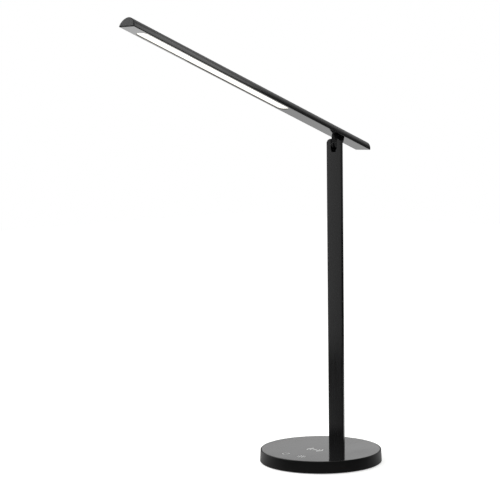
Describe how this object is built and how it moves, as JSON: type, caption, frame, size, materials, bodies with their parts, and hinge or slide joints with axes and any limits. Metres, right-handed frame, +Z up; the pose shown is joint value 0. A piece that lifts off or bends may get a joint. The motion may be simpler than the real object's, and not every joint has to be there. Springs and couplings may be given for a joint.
{
  "type": "folding led desk lamp",
  "caption": "Desk lamp with a round weighted base, half-round post and a half-round light bar that folds down flat in front of the post on a friction hinge.",
  "frame": {"origin": "on the table under the middle of the round base", "axes": "+Z up along the post, the lamp faces -Y with the bar's tip towards -Y, +X to the lamp's left"},
  "size_m": [0.1714, 0.456, 0.6067],
  "materials": {
    "aluminium_black": "satin black anodised aluminium extrusion",
    "abs_black": "fine-grained black moulded ABS",
    "gloss_black": "polished black acrylic with white printed marks",
    "rubber_black": "matt black rubber",
    "opal_lit": "opal acrylic, lit from behind",
    "clear_guide": "clear acrylic light guide",
    "white_plastic": "white reflective polycarbonate",
    "circuit_board": "green solder mask",
    "lamp_phosphor": "yellow phosphor",
    "steel": "zinc-plated steel",
    "iron": "cast iron, dark",
    "zinc_black": "black painted zinc casting",
    "copper": "enamelled copper wire",
    "lead_grey": "grey insulated lead"
  },
  "bodies": {
    "stand": {"foot_pad": "rubber_black", "bottom_cover": "abs_black", "cover_screws": "steel", "counterweight": "iron", "base_shell": "abs_black", "touch_panel": "gloss_black", "touch_board": "circuit_board", "sensor_pads": "rubber_black", "coil_board": "circuit_board", "coil_ferrite": "iron", "charging_coil": "copper", "driver_board": "circuit_board", "board_screws": "steel", "board_leads": "lead_grey", "dc_inlet": "abs_black", "inlet_pin": "steel", "post_foot": "iron", "post_screws": "steel", "post_tube": "aluminium_black", "post_lead": "lead_grey", "hinge_head": "zinc_black", "hinge_pin": "steel", "friction_washers": "steel", "spring_washer": "steel", "lock_nut": "steel", "hinge_caps": "abs_black"},
    "bar": {"hinge_tongue": "zinc_black", "tongue_screws": "steel", "bar_shell": "aluminium_black", "bar_cover": "gloss_black", "tip_cap": "abs_black", "tail_cap": "abs_black", "diffuser": "opal_lit", "light_guide": "clear_guide", "reflector_sheet": "white_plastic", "light_frame": "white_plastic", "led_boards": "circuit_board", "led_chips": "lamp_phosphor", "bar_lead": "lead_grey"}
  },
  "joints": [
    {"name": "bar_fold", "type": "hinge", "parent": "stand", "child": "bar", "pos_m": [0, 0.0391, 0.4446], "axis": [1, 0, 0], "range_deg": [-40.5, 109.5]}
  ]
}
